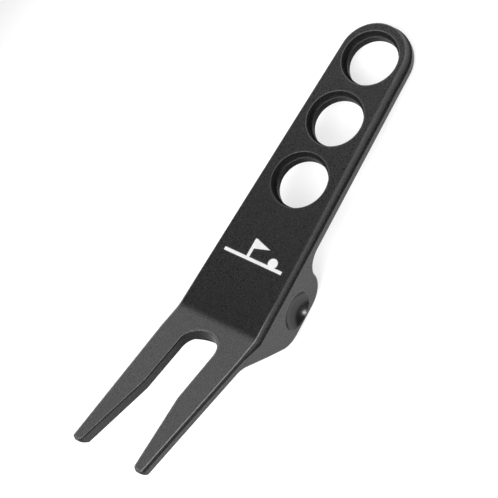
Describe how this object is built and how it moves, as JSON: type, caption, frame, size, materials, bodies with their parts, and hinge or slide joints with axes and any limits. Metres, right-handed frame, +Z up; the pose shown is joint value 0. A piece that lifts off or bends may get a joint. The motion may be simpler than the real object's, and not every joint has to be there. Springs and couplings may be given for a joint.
{
  "type": "divot repair tool",
  "caption": "Golf divot repair tool: flat perforated grip, flared fork bent upwards and a rocking boss with a dished cross pin.",
  "frame": {"origin": "floor point under the middle of the part's box, in its resting pose on the boss and the underside of the handle tip", "axes": "+Z up, +X from the fork to the handle tip, +Y across the tool, XZ its mirror plane"},
  "size_m": [0.0804, 0.016, 0.0259],
  "materials": {
    "body_anodise": "bead blasted, satin black anodised",
    "pin_anodise": "polished, black anodised",
    "mark_enamel": "satin pale grey enamel"
  },
  "bodies": {
    "root": {"tool_body": "body_anodise", "boss_pin": "pin_anodise", "face_mark": "mark_enamel"}
  },
  "joints": []
}
